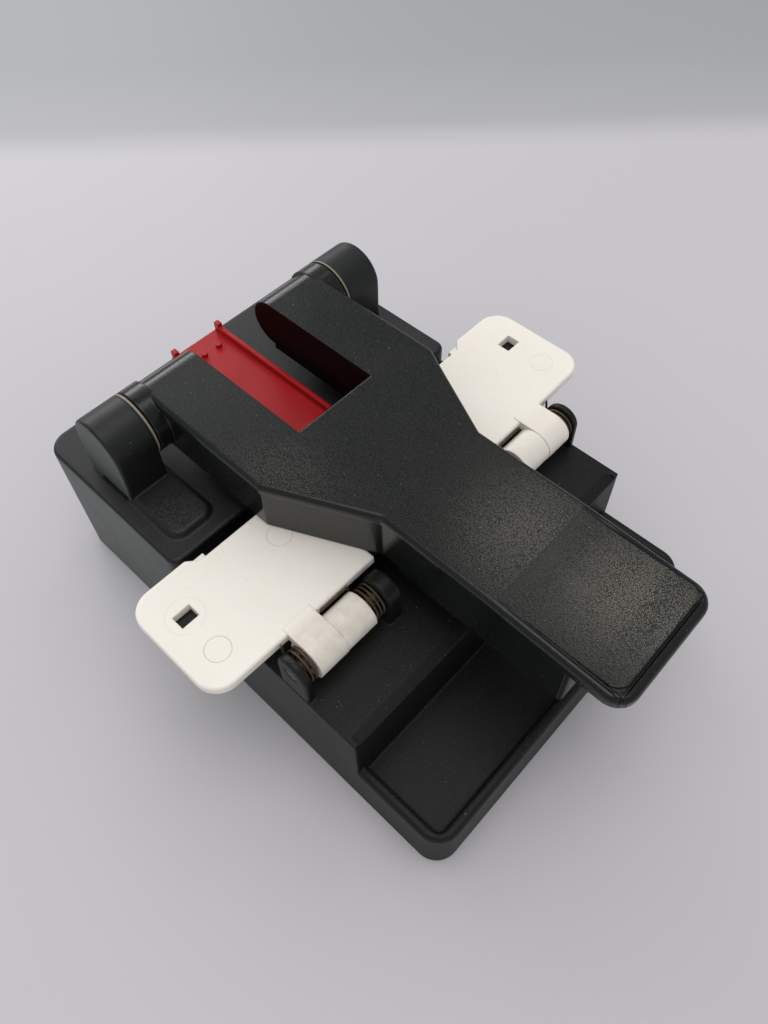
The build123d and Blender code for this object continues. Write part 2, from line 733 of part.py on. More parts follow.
with BuildPart() as arm_shell:
    # top plate, standing a little proud of the skirt all round
    with BuildSketch(Plane.XY.offset(lip_side_z)):
        with BuildLine():
            Polyline(*arm_corners(0, lip_front_y, nose_y), close=True)
        make_face()
        fillet(vertices().group_by(Axis.Y)[0], lip_corner)
    extrude(amount=arm_top_z - lip_side_z)
    # ledge that falls away round the thumb pad towards the front
    with BuildSketch(Plane.YZ):
        with BuildLine():
            Polyline(
                (pad_rear_y, arm_top_z),
                (lip_front_y - 1, arm_top_z - pad_ledge_drop),
                (lip_front_y - 1, arm_top_z + 1),
                (pad_rear_y, arm_top_z + 1),
                close=True,
            )
        make_face()
    extrude(amount=handle_half_width + 1, both=True, mode=Mode.SUBTRACT)
    top_edges = arm_shell.edges().filter_by_position(Axis.Y, lip_front_y - 1, nose_y - 0.1)
    top_edges = top_edges.filter_by_position(Axis.Z, arm_top_z - pad_ledge_drop - 0.1, arm_top_z + 0.1)
    fillet([edge for edge in top_edges if abs(edge.center().Y - pad_rear_y) > 0.1], top_round)
    with BuildSketch(Plane.XY.offset(lip_side_z + 0.2)):
        with Locations((0, (pad_rear_y + pad_front_y) / 2)):
            Rectangle(2 * pad_half_width, pad_rear_y - pad_front_y)
        fillet(vertices().group_by(Axis.Y)[0], 2.8)
    extrude(amount=arm_top_z - lip_side_z - 0.2)
    # shallow dish for the thumb
    dish_radius = ((pad_rear_y - pad_front_y) ** 2 / 4 + pad_dish**2) / (2 * pad_dish)
    dish_centre = (0, (pad_rear_y + pad_front_y) / 2, arm_top_z - pad_dish + dish_radius)
    with Locations(Location(dish_centre, (0, 90, 0))):
        Cylinder(dish_radius, 2 * pad_half_width + 0.4, mode=Mode.SUBTRACT)
    # deeper rim of the overhanging end
    with BuildSketch(Plane.XY.offset(lip_bottom_z)):
        with Locations((0, (lip_front_y + handle_front_y + 6) / 2)):
            Rectangle(2 * handle_half_width, handle_front_y + 6 - lip_front_y)
        fillet(vertices().group_by(Axis.Y)[0], lip_corner)
    extrude(amount=lip_side_z - lip_bottom_z + 0.1)
    rim_under = arm_shell.faces().sort_by(Axis.Z)[0].edges().filter_by_position(
        Axis.Y, lip_front_y - 1, handle_front_y + 5.9
    )
    fillet(rim_under, 0.7)
    # skirt
    skirt_top_z = arm_top_z - top_round - 0.1
    with BuildSketch(Plane.XY.offset(arm_bottom_z)):
        with BuildLine():
            Polyline(*arm_corners(skirt_inset, handle_front_y - skirt_inset, nose_y), close=True)
        make_face()
        fillet(vertices().group_by(Axis.Y)[0], handle_corner)
    extrude(amount=skirt_top_z - arm_bottom_z)
    with BuildSketch(Plane.XY.offset(handle_bottom_z)):
        with Locations((0, (handle_front_y + waist_front_y - 4.0) / 2)):
            Rectangle(2 * (handle_half_width - skirt_inset), waist_front_y - 4.0 - handle_front_y)
        fillet(vertices().group_by(Axis.Y)[0], handle_corner)
    extrude(amount=skirt_top_z - handle_bottom_z)
    # rounded tail round the hinge
    tail_half_width = arm_half_width - skirt_inset
    rod(-tail_half_width, tail_half_width, nose_y, nose_z, nose_radius)
    block(
        -tail_half_width, tail_half_width, nose_y - nose_radius, nose_y, hinge_z - 4.1, nose_z + 2,
    )
    for side in (-1, 1):
        rod(
            side * (arm_half_width - 1.5),
            side * (ear_inner_x - bush_flange - side_gap),
            hinge_y,
            hinge_z,
            ear_radius,
        )
    # hollow underside
    with BuildSketch(Plane.XY.offset(handle_bottom_z - 1)):
        with BuildLine():
            Polyline(
                *arm_corners(
                    skirt_inset + arm_skin, handle_front_y - skirt_inset, nose_y - nose_radius - 1
                ),
                close=True,
            )
        make_face()
    extrude(amount=arm_top_z - arm_skin - handle_bottom_z + 1, mode=Mode.SUBTRACT)
    # tape slot, open to the rear, with its own walls
    block(
        -slot_half_width - arm_skin,
        slot_half_width + arm_skin,
        slot_front_y - arm_skin,
        nose_y - 2,
        arm_bottom_z,
        arm_top_z - 1,
    )
    block(
        -slot_half_width,
        slot_half_width,
        slot_front_y,
        hinge_y + ear_radius + 1,
        handle_bottom_z - 1,
        arm_top_z + 1,
        Mode.SUBTRACT,
    )
    slot_corners = arm_shell.edges().filter_by(Axis.Z).filter_by_position(
        Axis.Y, slot_front_y - 0.01, slot_front_y + 0.01
    )
    fillet(slot_corners, 0.3)
    # bosses for the blade carrier
    for x, y in carrier_screw_spots:
        post(x, y, carrier_top_z, arm_top_z - 1, 2.4)
        post(x, y, carrier_top_z - 1, arm_top_z - arm_skin, 0.95, Mode.SUBTRACT)
    for side in (-1, 1):
        rod(
            side * axle_inner_x,
            side * (ear_inner_x + 4),
            hinge_y,
            hinge_z,
            axle_radius,
            Mode.SUBTRACT,
        )
arm_shell.part.label = "arm_shell"
export_step(arm_shell.part, "parts/arm_shell.step")

# ---------------------------------------------------------------- blades under the arm
carrier_y = (film_y - 12.6, slot_front_y - arm_skin - side_gap)
carrier_half_x = 12.2
front_knife_y = seat_y[0] - knife_thickness
rear_knife_y = seat_y[1]
cut_thickness = 0.8
cut_y = (bed_front_y + 0.6, bed_rear_y - 0.6)
carrier_cut_z = (carrier_bottom_z - 1, carrier_top_z + 1)

with BuildPart() as knife_carrier:
    block(-carrier_half_x, carrier_half_x, carrier_y[0], carrier_y[1], carrier_bottom_z, carrier_top_z)
    fillet(knife_carrier.edges().filter_by(Axis.Z), 1.5)
    for side in (-1, 1):
        post(side * stem_x, film_y, *carrier_cut_z, stem_radius + stem_clearance, Mode.SUBTRACT)
    for x, y in carrier_screw_spots:
        post(x, y, *carrier_cut_z, 1.2, Mode.SUBTRACT)
    for y0 in (front_knife_y, rear_knife_y):
        block(
            -knife_half_length, knife_half_length, y0, y0 + knife_thickness, *carrier_cut_z, Mode.SUBTRACT
        )
    block(cut_x, cut_x + cut_thickness, *cut_y, *carrier_cut_z, Mode.SUBTRACT)
knife_carrier.part.label = "knife_carrier"
export_step(knife_carrier.part, "parts/knife_carrier.step")

for name, y0 in (("front_tape_knife", front_knife_y), ("rear_tape_knife", rear_knife_y)):
    with BuildPart() as knife:
        block(-knife_half_length, knife_half_length, y0, y0 + knife_thickness, knife_tip_z, carrier_top_z)
        cutting = knife.edges().filter_by(Axis.X).group_by(Axis.Z)[0]
        outer_edge = cutting.sort_by(Axis.Y)[0 if y0 < film_y else -1]
        chamfer(outer_edge, length=0.4, length2=0.4)
    knife.part.label = name
    export_step(knife.part, "parts/" + name + ".step")

with BuildPart() as film_knife:
    block(cut_x, cut_x + cut_thickness, *cut_y, knife_tip_z, carrier_top_z)
    cutting = film_knife.edges().filter_by(Axis.Y).group_by(Axis.Z)[0]
    chamfer(cutting.sort_by(Axis.X)[-1], length=0.5, length2=0.5)
film_knife.part.label = "film_knife"
export_step(film_knife.part, "parts/film_knife.step")

with BuildPart() as carrier_screws:
    for x, y in carrier_screw_spots:
        post(x, y, carrier_bottom_z - 1.2, carrier_bottom_z, 2.0)
        post(x, y, carrier_bottom_z, carrier_top_z + 3, 0.93)
carrier_screws.part.label = "carrier_screws"
export_step(carrier_screws.part, "parts/carrier_screws.step")

# ---------------------------------------------------------------- pressure pad
pad_y = (film_y - pad_half_y, film_y + pad_half_y)

with BuildPart() as pressure_pad:
    block(-pad_half_x, pad_half_x, *pad_y, pad_bottom_z + 1.0, pad_top_z)
    fillet(pressure_pad.edges().filter_by(Axis.Z), 0.8)
    for side in (-1, 1):
        post(side * stem_x, film_y, pad_top_z, carrier_top_z + 0.7, stem_radius)
        post(side * stem_x, film_y, carrier_top_z + 0.3, carrier_top_z + 1.1, 1.9)
pressure_pad.part.label = "pressure_pad"
export_step(pressure_pad.part, "parts/pressure_pad.step")

with BuildPart() as pad_face:
    block(-pad_half_x, pad_half_x, *pad_y, pad_bottom_z, pad_bottom_z + 1.0)
    fillet(pad_face.edges().filter_by(Axis.Z), 0.8)
pad_face.part.label = "pad_face"
export_step(pad_face.part, "parts/pad_face.step")


def pad_spring(name, side):
    """Compression coil round one stem of the pressure pad."""
    height = carrier_bottom_z - pad_top_z - pad_wire - 0.1
    turns = 2.0
    pitch = height / turns

    def place(v, is_direction):
        if is_direction:
            return v
        return (side * stem_x + v[0], film_y + v[1], pad_top_z + pad_wire / 2 + 0.05 + v[2])

    coil = (0, 2 * pi * turns, pad_coil_radius, pitch, place)
    points, tangents = coil_points(*coil)
    print(name, "least gap", coil_gap(*coil, pad_wire))
    sweep_wire(name, arcs_through(points, tangents), Vector(*points[0]), Vector(*tangents[0]), pad_wire)


pad_spring("left_pad_spring", -1)
pad_spring("right_pad_spring", 1)
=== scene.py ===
import bpy, json, math
from mathutils import Matrix, Vector

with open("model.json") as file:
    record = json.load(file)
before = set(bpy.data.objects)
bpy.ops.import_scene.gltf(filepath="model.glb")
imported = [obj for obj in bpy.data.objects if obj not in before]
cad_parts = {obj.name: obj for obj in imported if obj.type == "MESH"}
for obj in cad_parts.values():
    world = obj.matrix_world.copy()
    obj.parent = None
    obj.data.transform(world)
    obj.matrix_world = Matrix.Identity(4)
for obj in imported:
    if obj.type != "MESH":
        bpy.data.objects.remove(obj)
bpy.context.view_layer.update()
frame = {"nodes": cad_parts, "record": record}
nodes = frame["nodes"]
mm = 0.001  # metres

# node settings that are used over and over, by short names
times = {"operation": "MULTIPLY"}
plus = {"operation": "ADD"}
minus = {"operation": "SUBTRACT"}
timesPlus = {"operation": "MULTIPLY_ADD"}
squareRoot = {"operation": "SQRT"}
unsigned = {"operation": "ABSOLUTE"}
below = {"operation": "LESS_THAN"}
above = {"operation": "GREATER_THAN"}
larger = {"operation": "MAXIMUM"}
dotProduct = {"operation": "DOT_PRODUCT"}
smooth = {"interpolation_type": "SMOOTHSTEP"}
colourMix = {"data_type": "RGBA", "blend_type": "MIX"}


# sRGB hex to linear colour
def linear(hexColour):
    out = []
    for i in (0, 2, 4):
        c = int(hexColour[i:i + 2], 16) / 255
        out.append(c / 12.92 if c <= 0.04045 else ((c + 0.055) / 1.055) ** 2.4)
    return (*out, 1.0)


def grey(v):
    return (v, v, v, 1)


# adds a node; a socket takes a constant, another node's output, or a node whose first output it wants
def addNode(tree, kind, settings=None, sockets=None, stops=None):
    made = tree.nodes.new(kind)
    for key, value in (settings or {}).items():
        setattr(made, key, value)
    for key, value in (sockets or {}).items():
        if isinstance(value, bpy.types.Node):
            value = value.outputs[0]
        if isinstance(value, bpy.types.NodeSocket):
            tree.links.new(value, made.inputs[key])
        else:
            made.inputs[key].default_value = value
    if stops:
        bands = made.color_ramp.elements
        bands[0].position, bands[0].color = stops[0]
        bands[1].position, bands[1].color = stops[-1]
        for place, colour in stops[1:-1]:
            bands.new(place).color = colour
    return made


def newMaterial(name):
    mat = bpy.data.materials.new(name)
    mat.use_nodes = True
    tree = mat.node_tree
    tree.nodes.clear()
    out = addNode(tree, "ShaderNodeOutputMaterial")
    bsdf = addNode(tree, "ShaderNodeBsdfPrincipled")
    tree.links.new(bsdf.outputs[0], out.inputs[0])
    return mat, tree, bsdf


# 1 between two limits, 0 outside, with soft ends
def inside(tree, value, low, high, soft):
    rising = addNode(tree, "ShaderNodeMapRange", {}, {
        "Value": value, "From Min": low - soft, "From Max": low + soft})
    falling = addNode(tree, "ShaderNodeMapRange", {}, {
        "Value": value, "From Min": high - soft, "From Max": high + soft, "To Min": 1.0, "To Max": 0.0})
    return addNode(tree, "ShaderNodeMath", times, {0: rising, 1: falling})


# how far a point is from a place in plan
def planDistance(tree, x, y, centre):
    dx = addNode(tree, "ShaderNodeMath", minus, {0: x, 1: centre[0] * mm})
    dy = addNode(tree, "ShaderNodeMath", minus, {0: y, 1: centre[1] * mm})
    dx2 = addNode(tree, "ShaderNodeMath", times, {0: dx, 1: dx})
    dy2 = addNode(tree, "ShaderNodeMath", times, {0: dy, 1: dy})
    both = addNode(tree, "ShaderNodeMath", plus, {0: dx2, 1: dy2})
    return addNode(tree, "ShaderNodeMath", squareRoot, {0: both})


# what all moulded plastics share; perM is how many of a pattern fit in a metre, 1000 / its size in mm
mouldedFacts = {
    "edgeFrom": 0.985, "edgeTo": 0.8,  # how far the rounded normal leans off the flat one near an edge
    "rubPerM": 900, "rub": [(0.4, grey(0.15)), (0.62, grey(1))],  # rubbed patches of 1.1 mm
    "speckSoft": 0.03,  # hard rim of a dust speck
    "filmPerM": 60, "filmFrom": 0.42, "filmTo": 0.75,  # dust clouds of 17 mm
    "roughLess": 0.04, "roughMore": 0.06,  # the same clouds dull the gloss
    "leftMore": {"overX": 10, "right": 0.3},  # the left plate is handled more than the right one
    "glowDepth": 0.8}  # mm that light goes in


# slow drift of tone, rounded edges that are rubbed paler, sparse dust and a soft film of it
def bodyTone(look, facts):
    tree, coords, shared = look["tree"], look["coords"], mouldedFacts
    drift = addNode(tree, "ShaderNodeTexNoise", {}, {
        "Vector": coords, "Scale": facts["driftPerM"], "Detail": 3, "Roughness": 0.5})
    base = addNode(tree, "ShaderNodeMix", colourMix, {
        0: drift, 6: linear(facts["dark"]), 7: linear(facts["light"])}).outputs[2]
    rounded = addNode(tree, "ShaderNodeBevel", {"samples": 6}, {"Radius": facts["edge"] * mm})
    flat = addNode(tree, "ShaderNodeNewGeometry").outputs["Normal"]
    agree = addNode(tree, "ShaderNodeVectorMath", dotProduct, {0: rounded, 1: flat}).outputs["Value"]
    nearEdge = addNode(tree, "ShaderNodeMapRange", {}, {
        "Value": agree, "From Min": shared["edgeFrom"], "From Max": shared["edgeTo"], "To Min": 0.0, "To Max": 1.0})
    rub = addNode(tree, "ShaderNodeTexNoise", {}, {
        "Vector": coords, "Scale": shared["rubPerM"], "Detail": 5, "Roughness": 0.7})
    rubbed = addNode(tree, "ShaderNodeValToRGB", {}, {"Fac": rub}, shared["rub"])
    patch = addNode(tree, "ShaderNodeMath", times, {0: nearEdge, 1: rubbed})
    worn = addNode(tree, "ShaderNodeMath", times, {0: patch, 1: facts["wear"]})
    base = addNode(tree, "ShaderNodeMix", colourMix, {0: worn, 6: base, 7: linear(facts["worn"])}).outputs[2]
    specks = addNode(tree, "ShaderNodeTexNoise", {}, {
        "Vector": coords, "Scale": facts["speckPerM"], "Detail": 2, "Roughness": 0.5})
    dusty = addNode(tree, "ShaderNodeValToRGB", {}, {"Fac": specks}, [
        (facts["speckFrom"], grey(0)), (facts["speckFrom"] + shared["speckSoft"], grey(facts["speck"]))])
    base = addNode(tree, "ShaderNodeMix", colourMix, {0: dusty, 6: base, 7: linear(facts["dust"])}).outputs[2]
    look["film"] = addNode(tree, "ShaderNodeTexNoise", {}, {
        "Vector": coords, "Scale": shared["filmPerM"], "Detail": 6, "Roughness": 0.65})
    filmed = addNode(tree, "ShaderNodeValToRGB", {}, {"Fac": look["film"]}, [
        (shared["filmFrom"], grey(0)), (shared["filmTo"], grey(facts["film"]))])
    look["base"] = addNode(tree, "ShaderNodeMix", colourMix, {
        0: filmed, 6: base, 7: linear(facts["dust"])}).outputs[2]
    look["shape"] = rounded


# the thin rings that ejector pins leave, mirrored left and right
def ejectorRings(look, rings):
    tree = look["tree"]
    for mark in rings:
        mirrored = addNode(tree, "ShaderNodeMath", unsigned, {0: look["x"]})
        far = planDistance(tree, mirrored, look["y"], mark["centre"])
        off = addNode(tree, "ShaderNodeMath", minus, {0: far, 1: mark["radius"] * mm})
        eitherSide = addNode(tree, "ShaderNodeMath", unsigned, {0: off})
        ring = addNode(tree, "ShaderNodeMapRange", smooth, {
            "Value": eitherSide, "From Min": 0.0, "From Max": mark["width"] * mm, "To Min": 1.0, "To Max": 0.0})
        dirty = addNode(tree, "ShaderNodeMath", times, {0: ring, 1: mark["dirt"]})
        amount = addNode(tree, "ShaderNodeMath", times, {0: dirty, 1: look["leftMore"]})
        look["base"] = addNode(tree, "ShaderNodeMix", colourMix, {
            0: amount, 6: look["base"], 7: linear(mark["tone"])}).outputs[2]
        look["shape"] = addNode(tree, "ShaderNodeBump", {"invert": True}, {
            "Strength": 1.0, "Distance": mark["deep"] * mm, "Height": ring, "Normal": look["shape"]})


# a dark line scored across the top of the step
def scoredLine(look, line):
    tree = look["tree"]
    across = inside(tree, look["y"], (line["y"] - line["width"]) * mm, (line["y"] + line["width"]) * mm,
                    0.5 * line["width"] * mm)
    high = addNode(tree, "ShaderNodeMath", above, {0: look["z"], 1: line["aboveZ"] * mm})
    onTop = addNode(tree, "ShaderNodeMath", times, {0: across, 1: high})
    between = inside(tree, look["x"], -line["halfX"] * mm, line["halfX"] * mm, line["endSoft"] * mm)
    scored = addNode(tree, "ShaderNodeMath", times, {0: onTop, 1: between})
    look["base"] = addNode(tree, "ShaderNodeMix", colourMix, {
        0: scored, 6: look["base"], 7: linear(line["tone"])}).outputs[2]


# only a band in the middle of the bush's flange is left pale; the rest of the bush is painted near black
def paleFlangeBand(look, rim):
    tree = look["tree"]
    outward = addNode(tree, "ShaderNodeMath", unsigned, {0: look["x"]})
    clean = inside(tree, outward, rim["fromX"] * mm, rim["toX"] * mm, rim["soft"] * mm)
    look["base"] = addNode(tree, "ShaderNodeMix", colourMix, {
        0: clean, 6: linear(rim["tone"]), 7: look["base"]}).outputs[2]


# painted reflection: the flat sides are painted paler, more so to the rear, standing in for the pale table and room
# they reflect at a grazing angle
def paintedSideReflection(look, side):
    tree = look["tree"]
    outward = addNode(tree, "ShaderNodeMath", unsigned, {0: look["faceX"]})
    sideways = addNode(tree, "ShaderNodeMath", above, {0: outward, 1: side["facing"]})
    rearMore = addNode(tree, "ShaderNodeMapRange", {}, {
        "Value": look["y"], "From Min": side["fromY"] * mm, "From Max": side["toY"] * mm,
        "To Min": 0.0, "To Max": side["amount"]})
    amount = addNode(tree, "ShaderNodeMath", times, {0: sideways, 1: rearMore})
    look["base"] = addNode(tree, "ShaderNodeMix", colourMix, {
        0: amount, 6: look["base"], 7: linear(side["tone"])}).outputs[2]


# fingers leave a warm film in patches on the knuckles
def knuckleSoil(look, soil):
    tree = look["tree"]
    cloud = addNode(tree, "ShaderNodeTexNoise", {}, {
        "Vector": look["coords"], "Scale": soil["perM"], "Detail": 4, "Roughness": 0.6})
    patches = addNode(tree, "ShaderNodeValToRGB", {}, {"Fac": cloud}, soil["patches"])
    near = addNode(tree, "ShaderNodeMapRange", {}, {
        "Value": look["y"], "From Min": (soil["belowY"] - soil["soft"]) * mm, "From Max": soil["belowY"] * mm,
        "To Min": soil["amount"], "To Max": 0.0})
    share = addNode(tree, "ShaderNodeMath", times, {0: patches, 1: near})
    amount = addNode(tree, "ShaderNodeMath", times, {0: share, 1: look["leftMore"]})
    look["base"] = addNode(tree, "ShaderNodeMix", colourMix, {
        0: amount, 6: look["base"], 7: linear(soil["tone"])}).outputs[2]


# the walls of the tape slot and the skirt's front stay dull, so they pick up little light from beside them, and are
# painted darker as painted shade
def dullAndShadedWalls(look, slot):
    tree = look["tree"]
    steep = addNode(tree, "ShaderNodeMath", below, {0: look["faceZ"], 1: slot["steep"]})
    across = inside(tree, look["x"], -slot["halfWidth"] * mm, slot["halfWidth"] * mm, 0.1 * mm)
    behind = addNode(tree, "ShaderNodeMath", above, {0: look["y"], 1: slot["frontY"] * mm})
    inSlot = addNode(tree, "ShaderNodeMath", times, {0: across, 1: behind})
    slotWall = addNode(tree, "ShaderNodeMath", times, {0: steep, 1: inSlot})
    forward = addNode(tree, "ShaderNodeMath", below, {0: look["faceY"], 1: slot["forward"]})
    atFront = addNode(tree, "ShaderNodeMath", below, {0: look["y"], 1: slot["skirtFrontY"] * mm})
    underLip = addNode(tree, "ShaderNodeMath", below, {0: look["z"], 1: slot["lipZ"] * mm})
    blunt = addNode(tree, "ShaderNodeMath", times, {0: forward, 1: atFront})
    skirtFront = addNode(tree, "ShaderNodeMath", times, {0: blunt, 1: underLip})
    dullAndShaded = addNode(tree, "ShaderNodeMath", larger, {0: slotWall, 1: skirtFront})
    reflect = addNode(tree, "ShaderNodeMath", timesPlus, {0: dullAndShaded, 1: slot["dulled"], 2: slot["gloss"]})
    tree.links.new(reflect.outputs[0], look["bsdf"].inputs["Specular IOR Level"])
    # painted shade: the slot walls and the skirt's front painted darker
    look["base"] = addNode(tree, "ShaderNodeMix", colourMix, {
        0: dullAndShaded, 6: look["base"], 7: linear(slot["tone"])}).outputs[2]


# the thumb pad rises a little towards the front, and the step round it is painted dark as painted shade, deeper
# towards the front
def thumbPad(look, pad):
    tree = look["tree"]
    ahead = addNode(tree, "ShaderNodeMath", minus, {0: pad["rearY"] * mm, 1: look["y"]})
    along = addNode(tree, "ShaderNodeMath", times, {0: ahead, 1: 1 / mm})
    past = addNode(tree, "ShaderNodeMath", above, {0: along, 1: 0.0})
    across = inside(tree, look["x"], -pad["halfWidth"] * mm, pad["halfWidth"] * mm, 0.02 * mm)
    onPad = addNode(tree, "ShaderNodeMath", times, {0: past, 1: across})
    reach = addNode(tree, "ShaderNodeMath", times, {0: along, 1: onPad})
    rise = addNode(tree, "ShaderNodeMath", times, {0: reach, 1: pad["slope"]})
    raised = addNode(tree, "ShaderNodeBump", {}, {
        "Strength": 1.0, "Distance": mm, "Height": rise, "Normal": look["shape"]})
    outward = addNode(tree, "ShaderNodeMath", unsigned, {0: look["x"]})
    beside = inside(tree, outward, pad["halfWidth"] * mm, (pad["halfWidth"] + pad["groove"]) * mm,
                    pad["grooveSoft"] * mm)
    front = inside(tree, look["y"], (pad["frontY"] - pad["groove"]) * mm, pad["frontY"] * mm,
                   pad["grooveSoft"] * mm)
    edge = addNode(tree, "ShaderNodeMath", larger, {0: beside, 1: front})
    deeper = addNode(tree, "ShaderNodeMapRange", {}, {
        "Value": along, "From Min": pad["grooveStart"], "From Max": pad["grooveFull"]})
    groove = addNode(tree, "ShaderNodeMath", times, {0: edge, 1: deeper})
    # painted shade in the step round the pad
    look["base"] = addNode(tree, "ShaderNodeMix", colourMix, {
        0: groove, 6: look["base"], 7: linear(pad["grooveShadeTone"])}).outputs[2]
    look["shape"] = addNode(tree, "ShaderNodeBump", {"invert": True}, {
        "Strength": 1.0, "Distance": pad["grooveDeep"] * mm, "Height": groove, "Normal": raised})
    # the rim round the pad is smooth
    offPad = addNode(tree, "ShaderNodeMath", minus, {0: 1.0, 1: onPad})
    ledge = addNode(tree, "ShaderNodeMath", times, {0: past, 1: offPad})
    frontRim = addNode(tree, "ShaderNodeMath", below, {0: look["y"], 1: pad["frontY"] * mm})
    rim = addNode(tree, "ShaderNodeMath", larger, {0: ledge, 1: frontRim})
    look["grained"] = addNode(tree, "ShaderNodeMath", minus, {0: 1.0, 1: rim})


# raised grain painted bright: a little everywhere as real grain, and painted sheen in soft spots where the lamps'
# highlights fall, mostly on level faces
# the real grain is about 0.1 mm; it is drawn 0.25 to 0.3 mm wide, as coarse as it needs to show in the render
def grainAndPaintedSheen(look, peaks):
    tree = look["tree"]
    grainAndSheenAmount = peaks["least"]
    for spot in peaks["spots"]:
        side = addNode(tree, "ShaderNodeMath", below, {0: look["y"], 1: spot["belowY"] * mm})
        if spot["aboveY"] is not None:
            behind = addNode(tree, "ShaderNodeMath", above, {0: look["y"], 1: spot["aboveY"] * mm})
            side = addNode(tree, "ShaderNodeMath", times, {0: side, 1: behind})
        far = planDistance(tree, look["x"], look["y"], spot["centre"])
        patch = addNode(tree, "ShaderNodeMapRange", smooth, {
            "Value": far, "From Min": 0.0, "From Max": spot["radius"] * mm, "To Min": 1.0, "To Max": 0.0})
        share = addNode(tree, "ShaderNodeMath", times, {0: patch, 1: side})
        grainAndSheenAmount = addNode(tree, "ShaderNodeMath", timesPlus, {0: share, 1: spot["amount"], 2: grainAndSheenAmount})
    # level faces take the most of the painted sheen
    topFace = addNode(tree, "ShaderNodeMapRange", {}, {
        "Value": look["faceZ"], "From Min": 0.93, "From Max": 0.99, "To Min": 0.15, "To Max": 1.0})  # level faces
    cells = addNode(tree, "ShaderNodeTexVoronoi", {}, {
        "Vector": look["coords"], "Scale": peaks["perM"], "Randomness": 0.75})
    tips = addNode(tree, "ShaderNodeValToRGB", {}, {"Fac": cells}, [(0.22, grey(1)), (0.55, grey(0))])
    amount = addNode(tree, "ShaderNodeMath", times, {0: tips, 1: grainAndSheenAmount})
    amount = addNode(tree, "ShaderNodeMath", times, {0: amount, 1: topFace})
    if "grained" in look:
        amount = addNode(tree, "ShaderNodeMath", times, {0: amount, 1: look["grained"]})
    look["base"] = addNode(tree, "ShaderNodeMix", colourMix, {
        0: amount, 6: look["base"], 7: linear(peaks["tone"])}).outputs[2]


# upright faces, which slid in the mould, reflect less than the tops, and the front less than the rear
def housingGloss(look, gloss):
    tree = look["tree"]
    upright = inside(tree, look["faceZ"], -gloss["upright"], gloss["upright"], 0.1)
    tops = addNode(tree, "ShaderNodeMapRange", {}, {
        "Value": look["y"], "From Min": gloss["fromY"] * mm, "From Max": gloss["toY"] * mm,
        "To Min": gloss["front"], "To Max": gloss["rear"]})
    reflect = addNode(tree, "ShaderNodeMath", timesPlus, {0: upright, 1: gloss["walls"], 2: tops})
    tree.links.new(reflect.outputs[0], look["bsdf"].inputs["Specular IOR Level"])


# moulded plastic: base tone, fine spark-erosion grain, dust, paler worn edges, and the marks of its piece, with
# painted shade, painted sheen and painted reflection where its facts ask for them
def moulded(name, facts):
    mat, tree, bsdf = newMaterial(name)
    texture = addNode(tree, "ShaderNodeTexCoord")
    place = addNode(tree, "ShaderNodeSeparateXYZ", {}, {0: texture.outputs["Object"]})
    # which way a face points in its own piece, so that it stays the same in every pose
    facing = addNode(tree, "ShaderNodeSeparateXYZ", {}, {0: texture.outputs["Normal"]})
    look = {"tree": tree, "bsdf": bsdf, "coords": texture.outputs["Object"],
            "x": place.outputs["X"], "y": place.outputs["Y"], "z": place.outputs["Z"],
            "faceX": facing.outputs["X"], "faceY": facing.outputs["Y"], "faceZ": facing.outputs["Z"]}
    bodyTone(look, facts)
    handling = mouldedFacts["leftMore"]
    look["leftMore"] = addNode(tree, "ShaderNodeMapRange", {}, {
        "Value": look["x"], "From Min": -handling["overX"] * mm, "From Max": handling["overX"] * mm,
        "To Min": 1.0, "To Max": handling["right"]})
    for key, addMark in (("rings", ejectorRings), ("line", scoredLine), ("rim", paleFlangeBand),
                         ("paintedSideReflection", paintedSideReflection), ("soil", knuckleSoil), ("slot", dullAndShadedWalls),
                         ("pad", thumbPad), ("peaks", grainAndPaintedSheen), ("gloss", housingGloss)):
        if key in facts:
            addMark(look, facts[key])
    rough = addNode(tree, "ShaderNodeValToRGB", {}, {"Fac": look["film"]}, [
        (0.3, grey(facts["rough"] - mouldedFacts["roughLess"])),
        (0.8, grey(facts["rough"] + mouldedFacts["roughMore"]))])
    grain = addNode(tree, "ShaderNodeTexNoise", {}, {
        "Vector": look["coords"], "Scale": facts["grainPerM"], "Detail": 1, "Roughness": 0.5})
    grained = addNode(tree, "ShaderNodeBump", {}, {
        "Strength": 1.0, "Distance": facts["grain"] * mm, "Height": grain, "Normal": look["shape"]})
    tree.links.new(look["base"], bsdf.inputs["Base Color"])
    tree.links.new(rough.outputs[0], bsdf.inputs["Roughness"])
    tree.links.new(grained.outputs[0], bsdf.inputs["Normal"])
    bsdf.inputs["IOR"].default_value = facts["ior"]
    if "sss" in facts:
        bsdf.inputs["Subsurface Weight"].default_value = facts["sss"]
        bsdf.inputs["Subsurface Scale"].default_value = mouldedFacts["glowDepth"] * mm
        bsdf.inputs["Subsurface Radius"].default_value = facts["sssRadius"]
    return mat


metalFacts = {
    "tarnishPerM": 500, "tarnishFrom": 0.45, "tarnishTo": 0.7,  # tarnish in patches of 2 mm
    "roughLess": 0.07, "roughMore": 0.1, "lineDeep": 0.02}  # mm


